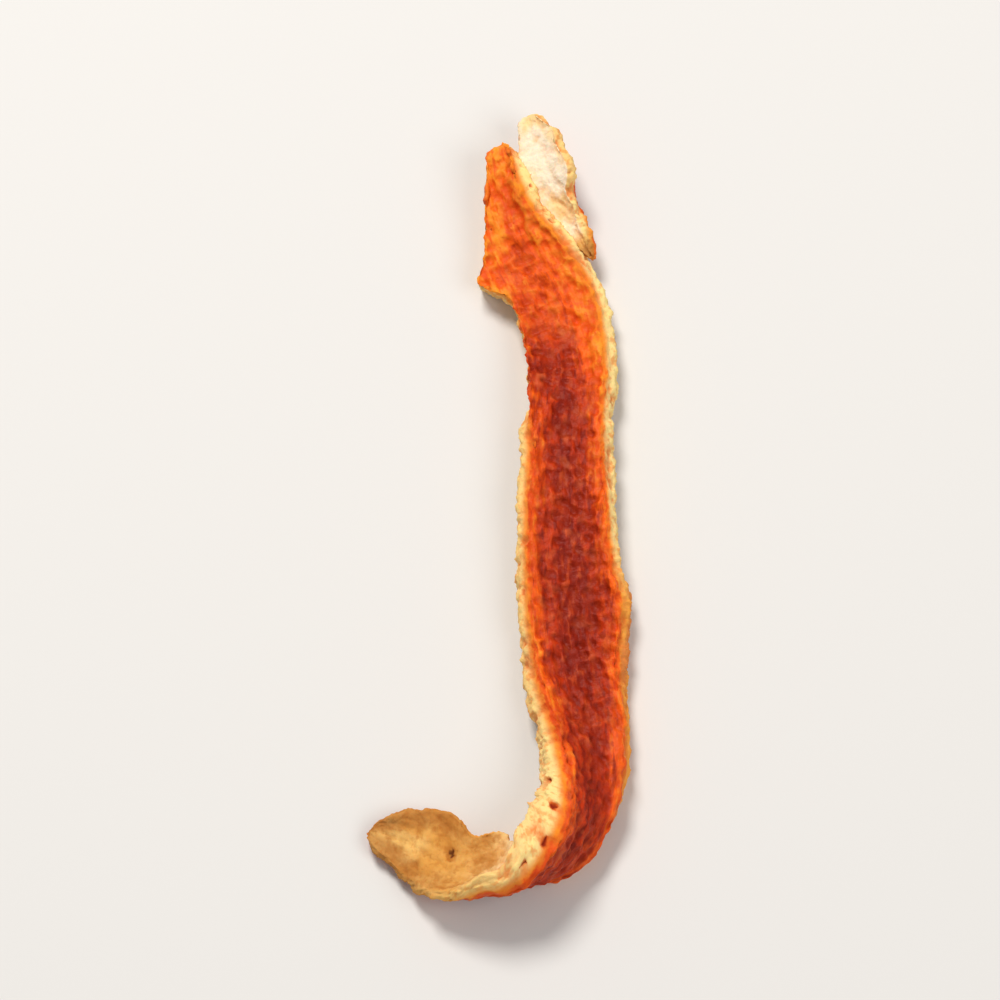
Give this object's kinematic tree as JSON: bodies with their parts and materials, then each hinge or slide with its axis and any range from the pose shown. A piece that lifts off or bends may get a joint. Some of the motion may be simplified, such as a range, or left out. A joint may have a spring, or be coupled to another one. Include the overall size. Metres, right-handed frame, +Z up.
{
  "type": "dried orange peel strip",
  "caption": "Knife-cut strip of dried orange peel with its pith, rind side up, split at one end and rolled into a hook at the other; a dry food scrap that lies on a surface.",
  "frame": {"origin": "below the middle of the strip's box, on the plane it rests on", "axes": "+Y along the strip towards its split end, +Z up out of the rind, +X to the side away from the hooked tail"},
  "size_m": [0.0158, 0.0504, 0.0055],
  "materials": {
    "peel": "dry pitted rind, deep red-orange with orange margins; cut sides and pith dry, spongy and cream to ochre"
  },
  "bodies": {
    "root": {"peel_strip": "peel"}
  },
  "joints": []
}
